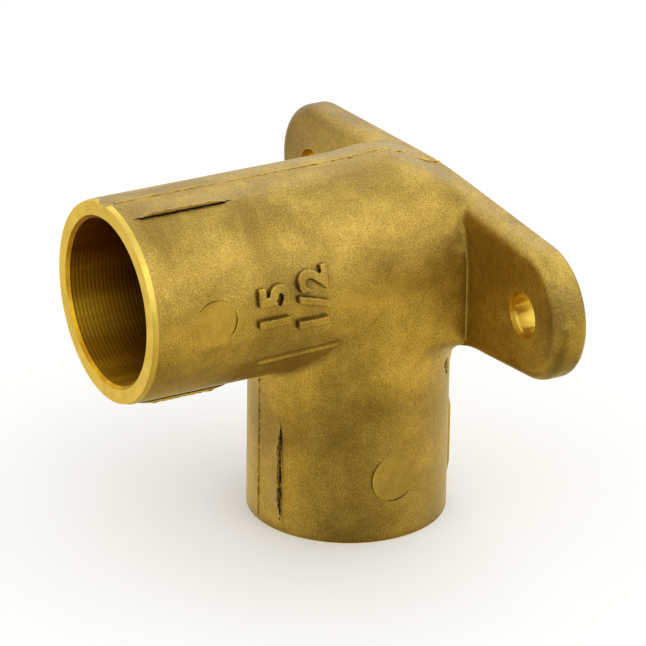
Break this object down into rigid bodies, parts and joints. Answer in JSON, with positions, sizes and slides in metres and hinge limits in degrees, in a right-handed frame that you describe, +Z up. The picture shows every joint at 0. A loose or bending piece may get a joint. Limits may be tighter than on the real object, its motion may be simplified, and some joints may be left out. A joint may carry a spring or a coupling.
{
  "type": "wall plate elbow",
  "caption": "One-piece forged brass right-angle pipe elbow with solder sockets and an eared wall plate, which turns a tube out of a wall and holds it with screws.",
  "frame": {"origin": "point of the plate's wall face that lies on the outlet socket's axis", "axes": "+Y into the wall, so the outlet socket faces -Y; +Z up, with the inlet socket facing -Z; +X along the ears"},
  "size_m": [0.053, 0.0363, 0.0362],
  "materials": {
    "forged_brass": "satin as-forged skin, with bright turned sockets and drilled screw holes"
  },
  "bodies": {
    "root": {"elbow_body": "forged_brass"}
  },
  "joints": []
}
